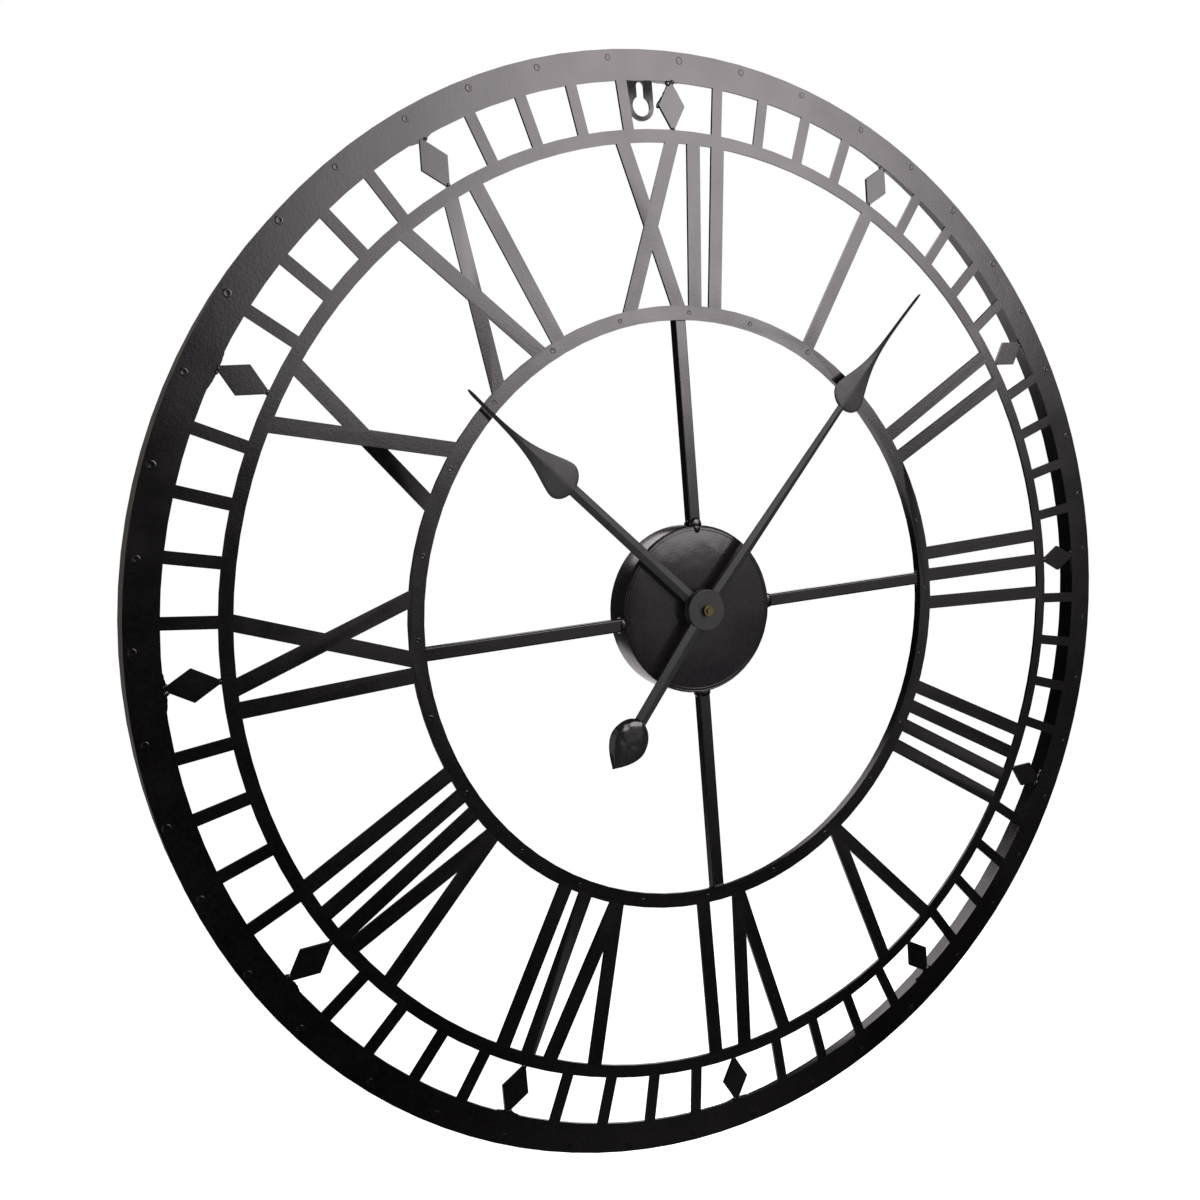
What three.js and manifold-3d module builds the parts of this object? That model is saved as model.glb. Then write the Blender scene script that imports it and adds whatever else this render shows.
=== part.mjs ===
// Skeleton wall clock with a sheet-metal dial, a spoked hub and a quartz movement.
// Millimetres. X runs to the right of the dial, Z up, and the dial faces -Y.
// The parts are laid out about the dial's centre, with depths from the dial's front plane. The
// finished clock is then moved so that the origin is on the wall, where the hook holds it.
import * as THREE from "three";
import { mergeVertices } from "three/addons/utils/BufferGeometryUtils.js";
import Module from "manifold-3d";

const wasm = await Module();
wasm.setup();

// ---------- driving dimensions ----------

// whole clock
const RADIUS = 300;
const DEPTH = 23.5;
const RING_FACETS = 120;
const INNER_FACETS = 84;
const HOURS = 12;

// dial sheet
const SHEET = 1.5;
const CHAPTER_IN = 284.2;
const MIDDLE_OUT = 259.2;
const MIDDLE_IN = 252.5;
const INNER_OUT = 167.5;
const INNER_IN = 159.6;
const DISH = 6;
const MINUTE_BAR = 6.1;
const STROKE = 8;
const WELD_LAP = 2;

// numeral layout: letter centres across each numeral, clockwise positive
const X_WIDTH = 31;
const V_WIDTH = 28;
const V_LEAN = 7;
const WIDE_V_WIDTH = 40;
const SPLAY = 0.1;
const NUMERALS = [
  { X: [-14], I: [13, 27] },
  { I: [3.5] },
  { I: [-6, 11] },
  { I: [-15.5, -0.5, 18.5] },
  { I: [-19.5, -5.5, 8.5, 23.5] },
  { W: [-0.5] },
  { V: [-19.5], I: [12.5] },
  { V: [-27], I: [0.5, 15] },
  { V: [-27.5], I: [-5, 8, 23] },
  { I: [-13.5], X: [11] },
  { X: [2] },
  { X: [-15.5], I: [13.5] },
];

// Hand fixing leaves the pieces a little off their marks: degrees clockwise for the four minute
// bars after each hour and for its marker, and millimetres clockwise for each spoke.
const BAR_DRIFT = [0.5, 0.5, -0.5, -0.5, 0.5, 0, 0, -0.5, -0.5, 0, 0, 0.5];
const MARKER_DRIFT = [0.5, 0.5, 0.5, 0, 0.5, 0, 0.5, 0, -1, 0, 0, 0.5];
const SPOKE_DRIFT = { top: 2.5, right: 1, bottom: -0.5, left: -3 };

// hour markers
const MARKER_WIDTH = 16;
const MARKER_TIP = 1.5;
const WELD_GAP = 0.1;

// rolled bands, spokes and hub
const RIM_OUT = 299.5;
const RIM_STRIP = 1.5;
const BAND_OUT = 165.5;
const BAND_IN = 163;
const BAND_DEPTH = 8;
const SPOKE_WIDTH = 7;
const SPOKE_DEPTH = 6;
const HUB_RADIUS = 47;
const HUB_FRONT = 6.5;
const HUB_SHEET = 0.8;
const HUB_FILLET = 1.5;
const HUB_FACETS = 60;

// keyhole hanger
const HANGER_X = -6;
const HANGER_WIDTH = 15.4;
const HANGER_SHEET = 1.5;
const HANGER_CENTRE_Z = 275.8;
const HANGER_TOP_Z = 297.5;
const HEAD_SPACE = 4;
const KEYHOLE_RADIUS = 5.3;
const KEYHOLE_SLOT = 2.4;
const KEYHOLE_RISE = 10.6;
const HOOK_SHANK = 2;

// movement case
const CASE_HALF = 28;
const CASE_CORNER = 3;
const CASE_WALL = 1.2;
const CASE_FACE = 0.8;
const GASKET = 0.6;
const CASE_FRONT = HUB_FRONT + HUB_SHEET + GASKET;
const CASE_INSIDE = CASE_FRONT + CASE_FACE;
const LID_FRONT = 20.9;
const LID_SHEET = 0.8;
const BUSH_FRONT = 3.2;
const BUSH_RADIUS = 3.95;
const BUSH_BORE = 2.6;
const HUB_HOLE = 4.2;
const BAY_TOP = -12.4;
const BAY_WALL = 0.8;

// battery, IEC R6
const CELL_RADIUS = 7;
const CELL_BODY = 49;
const CELL_NUB = 1;
const CELL_NUB_RADIUS = 2.75;
const CELL_Z = -19.6;
const CELL_X = -0.4;
const CONTACT_WIDTH = 9;
const CONTACT_SHEET = 0.25;
const CONTACT_GAP = 0.1;
const CONTACT_FOLD = 0.3;
const CONTACT_LIFT = 0.5;
const CONTACT_DROP = 2;
const CELL_GAP = 0.15;

// shafts
const ARBOR = 0.6;
const PIVOT_CLEARANCE = 0.08;
const SLEEVE_RADIUS = 2.5;
const SLEEVE_BORE = 1.6;
const SLEEVE_FRONT = 0.6;
const MINUTE_SHAFT = 1.5;
const MINUTE_SHAFT_FRONT = -5.2;
const SHAFT_FACETS = 24;
const POST_RADIUS = 0.7;
const POST_LENGTH = 2.2;
const WORKS_COLLAR = 0.8;
const LAP = 0.2;

// gear train: teeth, module and the depth of each wheel's front
const WHEEL = 0.8;
const PINION_LAP = 0.1;
const MINUTE_TRAIN = { pinion: 8, wheel: 24, module: 0.75, y: 10.0 };
const HOUR_TRAIN = { pinion: 8, wheel: 32, module: 0.6, y: 8.9 };
const THIRD_TRAIN = { wheel: 45, pinion: 6, module: 0.48, y: 11.1 };
const SECONDS_TRAIN = { wheel: 48, pinion: 6, module: 0.45333333, y: 12.2 };
const STEP_TRAIN = { wheel: 40, pinion: 8, module: 0.5, y: 13.3 };
const ROTOR_TRAIN = { wheel: 48, pinion: 8, module: 0.375, y: 14.4 };
const ADDENDUM = 0.75;
const DEDENDUM = 1.15;

// directions in degrees from one arbor to the next, anticlockwise from 3 o'clock
const MINUTE_WORKS_AT = 30;
const THIRD_AT = 150;
const STEP_AT = 90;
const ROTOR_AT = 35;
const KNOB_AT = -15;

// setting knob
const KNOB_RIBS = 12;
const KNOB_GROOVE = 4.1;
const KNOB_RIDGE = 4.6;
const KNOB_THICK = 1.4;
const KNOB_SHAFT = 1.2;
const KNOB_GAP = 0.2;

// motor
const MAGNET_RADIUS = 3;
const MAGNET_LENGTH = 2;
const MAGNET_LEAD = 0.3;
const STATOR_Y = 15.9;
const STATOR_SHEET = 1;
const STATOR_GAP = 0.4;
const STATOR_HALF = 5;
const STATOR_END = -20.5;
const CORE_HALF = 1;
const COIL_RADIUS = 2.8;
const COIL_START = -19;
const COIL_LENGTH = 15;
const COIL_SLACK = 0.15;
const COIL_Z = 23.8;

// circuit board and quartz crystal
const BOARD_X = [-26.4, -15.5];
const BOARD_Z = [-10.5, 18];
const BOARD_Y = 18.2;
const BOARD_SHEET = 0.8;
const CRYSTAL_RADIUS = 1.5;
const CRYSTAL_LENGTH = 8;
const CRYSTAL_Z = 6;
const CRYSTAL_GAP = 0.05;

// fixings on the threaded bush
const GASKET_RADIUS = 14;
const WASHER_RADIUS = 6.5;
const WASHER_SHEET = 0.5;
const MOUNTING_NUT_FLATS = 12;
const MOUNTING_NUT_THICK = 2;
const BUSH_CLEARANCE = 0.05;

// hands, as they stand at rest
const MINUTE_ANGLE = 43.6;
const HOUR_ANGLE = 314.7;
const HAND_BOSS = 11.7;
const BOSS_THICK = 1.6;
const BORE_CLEARANCE = 0.05;
const BORE_OVERRUN = 4;
const HAND_NUT_RADIUS = 3.1;
const HAND_NUT_THICK = 2.2;
const HAND_EDGE = 0.7;
const HAND_RIDGE = 0.7;
const SPADE_FLANK = 20;
const SPADE_HALF = 10.8;
const TIP_HALF = 0.8;
const HOUR_HAND = { back: 2.6, arm: [3.8, 3.3], notch: 102.6, peak: 111, tip: 179 };
const MINUTE_HAND = { back: -0.6, arm: [3.7, 2.2], notch: 146.8, peak: 155.8, tip: 238 };
const TAIL = { arm: 3.8, bend: -3.7, notch: 71.3, peak: 85, tip: 101.3, half: 11.8, dome: 2 };

// ---------- materials ----------

function paint(color, roughness, metalness = 0.3) {
  return new THREE.MeshStandardMaterial({ color, roughness, metalness });
}
const BLACK = [0x171516, 0.38];
const HAND_GREY = [0x3c3e3c, 0.5];
const BRASS = [0xb08d4c, 0.35, 0.9];
const STEEL = [0xa9abac, 0.35, 0.9];
const CASE_BLACK = [0x1d1e20, 0.55, 0];
const GEAR_WHITE = [0xdfddd2, 0.5, 0];

// ---------- solids ----------

const radians = THREE.MathUtils.degToRad;

function solid(geometry) {
  const bare = geometry.index ? geometry : mergeVertices(geometry);
  bare.deleteAttribute("normal");
  bare.deleteAttribute("uv");
  const merged = mergeVertices(bare, 1e-5);
  return new wasm.Manifold(new wasm.Mesh({
    numProp: 3,
    vertProperties: new Float32Array(merged.attributes.position.array),
    triVerts: new Uint32Array(merged.index.array),
  }));
}

function surface(manifold) {
  const mesh = manifold.getMesh();
  const geometry = new THREE.BufferGeometry();
  geometry.setAttribute("position", new THREE.BufferAttribute(mesh.vertProperties, 3));
  geometry.setIndex(new THREE.BufferAttribute(mesh.triVerts, 1));
  return geometry;
}

function join(first, ...others) {
  return others.reduce((whole, piece) => whole.add(piece), first);
}

function cut(first, ...others) {
  return others.reduce((whole, piece) => whole.subtract(piece), first);
}

function mesh(name, shape, look) {
  const geometry = shape.isBufferGeometry ? shape : surface(shape);
  const body = new THREE.Mesh(geometry, paint(...look));
  body.name = name;
  return body;
}

// A flat outline in X and Z, from depth front to depth front + thickness.
function plate(shape, front, thickness, curveSegments = 12) {
  const options = { depth: thickness, bevelEnabled: false, curveSegments };
  const geometry = new THREE.ExtrudeGeometry(shape, options);
  geometry.rotateX(Math.PI / 2);
  geometry.translate(0, front + thickness, 0);
  return geometry;
}

function circleShape(radius, hole = 0) {
  const shape = new THREE.Shape();
  shape.absarc(0, 0, radius, 0, 2 * Math.PI, false);
  if (hole) {
    shape.holes.push(new THREE.Path().absarc(0, 0, hole, 0, 2 * Math.PI, true));
  }
  return shape;
}

function ring(outer, inner, front, thickness, facets = RING_FACETS) {
  return plate(circleShape(outer, inner), front, thickness, facets / 2);
}

function disc(radius, front, thickness, facets = SHAFT_FACETS) {
  return plate(circleShape(radius), front, thickness, facets / 2);
}

function box(x, y, z) {
  const size = [x[1] - x[0], y[1] - y[0], z[1] - z[0]];
  const geometry = new THREE.BoxGeometry(...size);
  geometry.translate((x[0] + x[1]) / 2, (y[0] + y[1]) / 2, (z[0] + z[1]) / 2);
  return geometry;
}

function at(geometry, x, z) {
  geometry.translate(x, 0, z);
  return geometry;
}

function polar(radius, degrees) {
  return [radius * Math.cos(radians(degrees)), radius * Math.sin(radians(degrees))];
}

// Turns a piece drawn at 12 o'clock clockwise, as seen from the front.
function clockwise(geometry, degrees) {
  geometry.rotateY(radians(degrees));
  return geometry;
}

// ---------- dial ----------

// A straight bar of constant width from (x0, z0) to (x1, z1).
function stroke(x0, z0, x1, z1, width, front, thickness) {
  const along = new THREE.Vector2(x1 - x0, z1 - z0).normalize();
  const side = new THREE.Vector2(-along.y, along.x).multiplyScalar(width / 2);
  const shape = new THREE.Shape([
    new THREE.Vector2(x0, z0).sub(side),
    new THREE.Vector2(x1, z1).sub(side),
    new THREE.Vector2(x1, z1).add(side),
    new THREE.Vector2(x0, z0).add(side),
  ]);
  return plate(shape, front, thickness);
}

// Foot and head of each stroke, across the numeral, for a letter centred on c.
const LETTERS = {
  I: (c) => [[c * (1 - SPLAY), c * (1 + SPLAY)]],
  X: (c) => [
    [c - X_WIDTH / 2, c + X_WIDTH / 2],
    [c + X_WIDTH / 2, c - X_WIDTH / 2],
  ],
  V: (c) => [
    [c + V_LEAN, c - V_WIDTH / 2],
    [c + V_LEAN, c + V_WIDTH / 2],
  ],
  W: (c) => [
    [c, c - WIDE_V_WIDTH / 2],
    [c, c + WIDE_V_WIDTH / 2],
  ],
};

function numeral(letters, hour) {
  const strokes = Object.entries(letters).flatMap(([letter, centres]) =>
    centres.flatMap((c) => LETTERS[letter](c)));
  return strokes.map(([foot, head]) => {
    const footZ = Math.sqrt((INNER_OUT - WELD_LAP) ** 2 - foot ** 2);
    const headZ = Math.sqrt((MIDDLE_IN + WELD_LAP) ** 2 - head ** 2);
    const bar = stroke(foot, footZ, head, headZ, STROKE, 0, SHEET);
    return solid(clockwise(bar, (hour * 360) / HOURS));
  });
}

function minuteBars() {
  const bars = [];
  for (let minute = 0; minute < 60; minute += 1) {
    if (minute % 5 !== 0) {
      const low = MIDDLE_OUT - WELD_LAP;
      const high = CHAPTER_IN + WELD_LAP;
      const bar = stroke(0, low, 0, high, MINUTE_BAR, 0, SHEET);
      const drift = BAR_DRIFT[Math.floor(minute / 5)];
      bars.push(solid(clockwise(bar, minute * 6 + drift)));
    }
  }
  return bars;
}

// Pushes the sheet back between the middle ring and the inner ring, like a shallow dish.
function dish(geometry) {
  const points = geometry.attributes.position;
  for (let i = 0; i < points.count; i += 1) {
    const radius = Math.hypot(points.getX(i), points.getZ(i));
    const share = (MIDDLE_IN - radius) / (MIDDLE_IN - INNER_OUT);
    points.setY(i, points.getY(i) + DISH * THREE.MathUtils.clamp(share, 0, 1));
  }
  return geometry;
}

function dialPlate() {
  const flat = join(
    solid(ring(RADIUS, CHAPTER_IN, 0, SHEET)),
    solid(ring(MIDDLE_OUT, MIDDLE_IN, 0, SHEET)),
    solid(ring(INNER_OUT, INNER_IN, 0, SHEET, INNER_FACETS)),
    ...minuteBars(),
    ...NUMERALS.flatMap(numeral),
  );
  return mesh("dial_plate", dish(surface(flat)), BLACK);
}

function hourMarker(hour) {
  const low = MIDDLE_OUT + WELD_GAP;
  const high = CHAPTER_IN - WELD_GAP;
  const waist = (low + high) / 2;
  const shape = new THREE.Shape([
    new THREE.Vector2(-MARKER_TIP / 2, low),
    new THREE.Vector2(MARKER_TIP / 2, low),
    new THREE.Vector2(MARKER_WIDTH / 2, waist),
    new THREE.Vector2(MARKER_TIP / 2, high),
    new THREE.Vector2(-MARKER_TIP / 2, high),
    new THREE.Vector2(-MARKER_WIDTH / 2, waist),
  ]);
  const marker = mesh(`hour_marker_${hour || HOURS}`, plate(shape, 0, SHEET), BLACK);
  marker.rotation.y = radians((hour * 360) / HOURS + MARKER_DRIFT[hour]);
  return marker;
}

function rimBand() {
  return mesh("rim_band", ring(RIM_OUT, RIM_OUT - RIM_STRIP, SHEET, DEPTH - SHEET), BLACK);
}

function innerBand() {
  const band = ring(BAND_OUT, BAND_IN, DISH + SHEET, BAND_DEPTH, INNER_FACETS);
  return mesh("inner_band", band, BLACK);
}

function spoke(side, degrees) {
  const drift = SPOKE_DRIFT[side];
  const x = [drift - SPOKE_WIDTH / 2, drift + SPOKE_WIDTH / 2];
  const y = [DISH + SHEET, DISH + SHEET + SPOKE_DEPTH];
  const bandFlat = BAND_IN * Math.cos(Math.PI / INNER_FACETS);
  const farCorner = Math.abs(drift) + SPOKE_WIDTH / 2;
  const z = [HUB_RADIUS + WELD_GAP, Math.sqrt(bandFlat ** 2 - farCorner ** 2) - WELD_GAP];
  const bar = mesh(`spoke_${side}`, box(x, y, z), BLACK);
  bar.rotation.y = radians(degrees);
  return bar;
}

// Revolves a profile of [radius, depth] points about the clock's axis.
function revolve(profile, facets) {
  const points = profile.map(([radius, depth]) => new THREE.Vector2(radius, depth));
  return new THREE.LatheGeometry(points, facets);
}

function hubCup() {
  const inside = HUB_RADIUS - HUB_SHEET;
  const round = [];
  for (let step = 0; step <= 3; step += 1) {
    const turn = (step / 3) * (Math.PI / 2);
    round.push([
      HUB_RADIUS - HUB_FILLET * (1 - Math.sin(turn)),
      HUB_FRONT + HUB_FILLET * (1 - Math.cos(turn)),
    ]);
  }
  const profile = [
    [HUB_HOLE, HUB_FRONT + HUB_SHEET],
    [HUB_HOLE, HUB_FRONT],
    ...round,
    [HUB_RADIUS, DEPTH],
    [inside, DEPTH],
    [inside, HUB_FRONT + HUB_SHEET],
    [HUB_HOLE, HUB_FRONT + HUB_SHEET],
  ];
  return mesh("hub_cup", revolve(profile, HUB_FACETS), BLACK);
}

function hanger() {
  const half = HANGER_WIDTH / 2;
  const shape = new THREE.Shape();
  shape.absarc(0, 0, half, Math.PI, 2 * Math.PI, false);
  shape.lineTo(half, HANGER_TOP_Z - HANGER_CENTRE_Z);
  shape.lineTo(-half, HANGER_TOP_Z - HANGER_CENTRE_Z);
  const open = Math.asin(KEYHOLE_SLOT / KEYHOLE_RADIUS);
  const hole = new THREE.Path();
  hole.absarc(0, 0, KEYHOLE_RADIUS, Math.PI / 2 + open, Math.PI / 2 - open + 2 * Math.PI, false);
  hole.absarc(0, KEYHOLE_RISE, KEYHOLE_SLOT, 0, Math.PI, false);
  shape.holes.push(hole);
  const front = DEPTH - HEAD_SPACE - HANGER_SHEET;
  return mesh("hanger", at(plate(shape, front, HANGER_SHEET), HANGER_X, HANGER_CENTRE_Z), BLACK);
}

// ---------- gears ----------

function gearShape(teeth, module, phase, bore = 0) {
  const pitch = (2 * Math.PI) / teeth;
  const radius = (teeth * module) / 2;
  const root = radius - DEDENDUM * module;
  const tip = radius + ADDENDUM * module;
  const halfRoot = pitch * 0.3;
  const halfTip = pitch * 0.09;
  const points = [];
  for (let tooth = 0; tooth < teeth; tooth += 1) {
    const middle = phase + tooth * pitch;
    const corners = [[root, -halfRoot], [tip, -halfTip], [tip, halfTip], [root, halfRoot]];
    for (const [r, turn] of corners) {
      points.push(new THREE.Vector2(r * Math.cos(middle + turn), r * Math.sin(middle + turn)));
    }
  }
  const shape = new THREE.Shape(points);
  if (bore) {
    shape.holes.push(new THREE.Path().absarc(0, 0, bore, 0, 2 * Math.PI, true));
  }
  return shape;
}

function wheel(train, phase, bore) {
  return solid(plate(gearShape(train.wheel, train.module, phase, bore), train.y, WHEEL));
}

function pinion(train, phase, bore) {
  const shape = gearShape(train.pinion, train.module, phase, bore);
  return solid(plate(shape, train.y - PINION_LAP, WHEEL + 2 * PINION_LAP));
}

function reach(train) {
  return ((train.wheel + train.pinion) * train.module) / 2;
}

// The phase that puts a driven gear's gap over the driver's tooth, seen in the given direction.
function inMesh(driverTeeth, driverPhase, direction, teeth) {
  const share = ((direction - driverPhase) * driverTeeth) / (2 * Math.PI);
  return direction + Math.PI - ((0.5 - share) * 2 * Math.PI) / teeth;
}

const minuteWorksPlace = polar(reach(MINUTE_TRAIN), MINUTE_WORKS_AT);
const thirdPlace = polar(reach(THIRD_TRAIN), THIRD_AT);
const stepPlace = polar(reach(STEP_TRAIN), STEP_AT);
const rotorStep = polar(reach(ROTOR_TRAIN), ROTOR_AT);
const rotorPlace = [stepPlace[0] + rotorStep[0], stepPlace[1] + rotorStep[1]];
const knobReach = ((MINUTE_TRAIN.wheel + MINUTE_TRAIN.pinion) * MINUTE_TRAIN.module) / 2;
const knobStep = polar(knobReach, KNOB_AT);
const knobPlace = [minuteWorksPlace[0] + knobStep[0], minuteWorksPlace[1] + knobStep[1]];

const minuteWorksPhase = inMesh(MINUTE_TRAIN.pinion, 0, radians(MINUTE_WORKS_AT), MINUTE_TRAIN.wheel);
const hourPhase = inMesh(HOUR_TRAIN.pinion, 0, radians(MINUTE_WORKS_AT) + Math.PI, HOUR_TRAIN.wheel);
const knobPhase = inMesh(MINUTE_TRAIN.wheel, minuteWorksPhase, radians(KNOB_AT), MINUTE_TRAIN.pinion);
const thirdPhase = inMesh(THIRD_TRAIN.wheel, 0, radians(THIRD_AT), THIRD_TRAIN.pinion);
const secondsPhase = inMesh(SECONDS_TRAIN.wheel, 0, radians(THIRD_AT) + Math.PI, SECONDS_TRAIN.pinion);
const stepPhase = inMesh(STEP_TRAIN.wheel, 0, radians(STEP_AT), STEP_TRAIN.pinion);
const rotorPhase = inMesh(ROTOR_TRAIN.wheel, 0, radians(ROTOR_AT), ROTOR_TRAIN.pinion);

const PIVOT_FRONT = CASE_INSIDE - CASE_FACE / 2;
const PIVOT_BACK = LID_FRONT + LID_SHEET / 2;

function arbor(front, back, radius = ARBOR) {
  return solid(disc(radius, front, back - front, 12));
}

function placed(body, place) {
  body.position.set(place[0], 0, place[1]);
  return body;
}

function centreWheel() {
  const pivotHole = arbor(MINUTE_TRAIN.y, SECONDS_TRAIN.y, ARBOR + PIVOT_CLEARANCE);
  const whole = join(
    wheel(THIRD_TRAIN, 0),
    pinion(MINUTE_TRAIN, 0),
    solid(disc(MINUTE_SHAFT, MINUTE_SHAFT_FRONT, THIRD_TRAIN.y - MINUTE_SHAFT_FRONT)),
  );
  return mesh("centre_wheel", cut(whole, pivotHole), BRASS);
}

function hourWheel() {
  const back = HOUR_TRAIN.y + WHEEL;
  const whole = join(
    wheel(HOUR_TRAIN, hourPhase),
    solid(disc(SLEEVE_RADIUS, SLEEVE_FRONT, back - SLEEVE_FRONT)),
  );
  const bore = solid(disc(SLEEVE_BORE, SLEEVE_FRONT - 1, back - SLEEVE_FRONT + 2));
  return mesh("hour_wheel", cut(whole, bore), GEAR_WHITE);
}

function minuteWorksWheel() {
  const bore = POST_RADIUS + PIVOT_CLEARANCE;
  const whole = join(
    wheel(MINUTE_TRAIN, minuteWorksPhase, bore),
    solid(disc(bore + WORKS_COLLAR, HOUR_TRAIN.y + WHEEL, MINUTE_TRAIN.y - HOUR_TRAIN.y - WHEEL + 0.1)),
    pinion(HOUR_TRAIN, 0, bore),
  );
  const hole = solid(disc(bore, HOUR_TRAIN.y - 1, MINUTE_TRAIN.y - HOUR_TRAIN.y + 3));
  return placed(mesh("minute_works_wheel", cut(whole, hole), GEAR_WHITE), minuteWorksPlace);
}

function thirdWheel() {
  const whole = join(
    pinion(THIRD_TRAIN, thirdPhase),
    wheel(SECONDS_TRAIN, 0),
    arbor(PIVOT_FRONT, PIVOT_BACK),
  );
  return placed(mesh("third_wheel", whole, GEAR_WHITE), thirdPlace);
}

function secondsWheel() {
  const whole = join(
    pinion(SECONDS_TRAIN, secondsPhase),
    wheel(STEP_TRAIN, 0),
    arbor(MINUTE_TRAIN.y + LAP, PIVOT_BACK),
  );
  return mesh("seconds_wheel", whole, GEAR_WHITE);
}

function stepWheel() {
  const whole = join(
    pinion(STEP_TRAIN, stepPhase),
    wheel(ROTOR_TRAIN, 0),
    arbor(PIVOT_FRONT, PIVOT_BACK),
  );
  return placed(mesh("step_wheel", whole, GEAR_WHITE), stepPlace);
}

function rotor() {
  const magnetFront = STATOR_Y - MAGNET_LEAD;
  const whole = join(
    pinion(ROTOR_TRAIN, rotorPhase),
    solid(disc(MAGNET_RADIUS, magnetFront, MAGNET_LENGTH)),
    arbor(PIVOT_FRONT, PIVOT_BACK),
  );
  return placed(mesh("rotor", whole, STEEL), rotorPlace);
}

function settingKnob() {
  const grip = [];
  for (let i = 0; i < 2 * KNOB_RIBS; i += 1) {
    const radius = i % 2 ? KNOB_GROOVE : KNOB_RIDGE;
    const turn = (i * Math.PI) / KNOB_RIBS;
    grip.push(new THREE.Vector2(radius * Math.cos(turn), radius * Math.sin(turn)));
  }
  const knobFront = LID_FRONT + LID_SHEET + KNOB_GAP;
  const whole = join(
    pinion(MINUTE_TRAIN, knobPhase),
    arbor(PIVOT_FRONT, MINUTE_TRAIN.y + 1),
    solid(disc(KNOB_SHAFT, MINUTE_TRAIN.y + WHEEL, knobFront - MINUTE_TRAIN.y)),
    solid(plate(new THREE.Shape(grip), knobFront, KNOB_THICK)),
  );
  return placed(mesh("setting_knob", whole, CASE_BLACK), knobPlace);
}

// ---------- movement case and its contents ----------

function roundedRectangle(x, z, corner) {
  const shape = new THREE.Shape();
  shape.absarc(x[1] - corner, z[0] + corner, corner, -Math.PI / 2, 0, false);
  shape.absarc(x[1] - corner, z[1] - corner, corner, 0, Math.PI / 2, false);
  shape.absarc(x[0] + corner, z[1] - corner, corner, Math.PI / 2, Math.PI, false);
  shape.absarc(x[0] + corner, z[0] + corner, corner, Math.PI, 1.5 * Math.PI, false);
  return shape;
}

function pivotHole(place, front, depth, radius = ARBOR) {
  return solid(at(disc(radius + PIVOT_CLEARANCE, front, depth, 16), ...place));
}

function movementCase() {
  const outer = [-CASE_HALF, CASE_HALF];
  const inner = [-CASE_HALF + CASE_WALL, CASE_HALF - CASE_WALL];
  const back = LID_FRONT;
  const block = plate(roundedRectangle(outer, outer, CASE_CORNER), CASE_FRONT, back - CASE_FRONT, 4);
  const gearRoom = roundedRectangle(inner, [BAY_TOP + BAY_WALL, inner[1]], CASE_CORNER - CASE_WALL);
  const cellRoom = roundedRectangle(inner, [inner[0], BAY_TOP], CASE_CORNER - CASE_WALL);
  const hollow = [gearRoom, cellRoom].map((room) => solid(plate(room, CASE_INSIDE, back, 4)));
  const bush = solid(disc(BUSH_RADIUS, BUSH_FRONT, CASE_INSIDE - BUSH_FRONT));
  const bore = solid(disc(BUSH_BORE, BUSH_FRONT - 1, CASE_INSIDE - BUSH_FRONT + 2));
  const post = solid(at(disc(POST_RADIUS, CASE_INSIDE - LAP, POST_LENGTH + LAP, 12), ...minuteWorksPlace));
  const pivots = [thirdPlace, stepPlace, rotorPlace, knobPlace].map((place) =>
    pivotHole(place, PIVOT_FRONT - 0.1, 1));
  const tray = join(cut(solid(block), ...hollow), bush, post);
  return mesh("movement_case", cut(tray, bore, ...pivots), CASE_BLACK);
}

function movementLid() {
  const x = [-CASE_HALF, CASE_HALF];
  const z = [BAY_TOP, CASE_HALF];
  const lid = solid(plate(roundedRectangle(x, z, CASE_CORNER), LID_FRONT, LID_SHEET, 4));
  const pivots = [[0, 0], thirdPlace, stepPlace, rotorPlace].map((place) =>
    pivotHole(place, LID_FRONT - 1, 1 + LID_SHEET * 0.75));
  const knobHole = pivotHole(knobPlace, LID_FRONT - 1, 3, KNOB_SHAFT);
  return mesh("movement_lid", cut(lid, ...pivots, knobHole), CASE_BLACK);
}

function battery() {
  const half = CELL_BODY / 2;
  const profile = [
    [0, -half], [CELL_RADIUS, -half], [CELL_RADIUS, half],
    [CELL_NUB_RADIUS, half], [CELL_NUB_RADIUS, half + CELL_NUB], [0, half + CELL_NUB],
  ];
  const cell = revolve(profile, SHAFT_FACETS);
  cell.rotateZ(-Math.PI / 2);
  cell.translate(CELL_X, CASE_INSIDE + CELL_GAP + CELL_RADIUS, CELL_Z);
  return mesh("battery", cell, [0x8d9499, 0.4, 0.4]);
}

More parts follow.
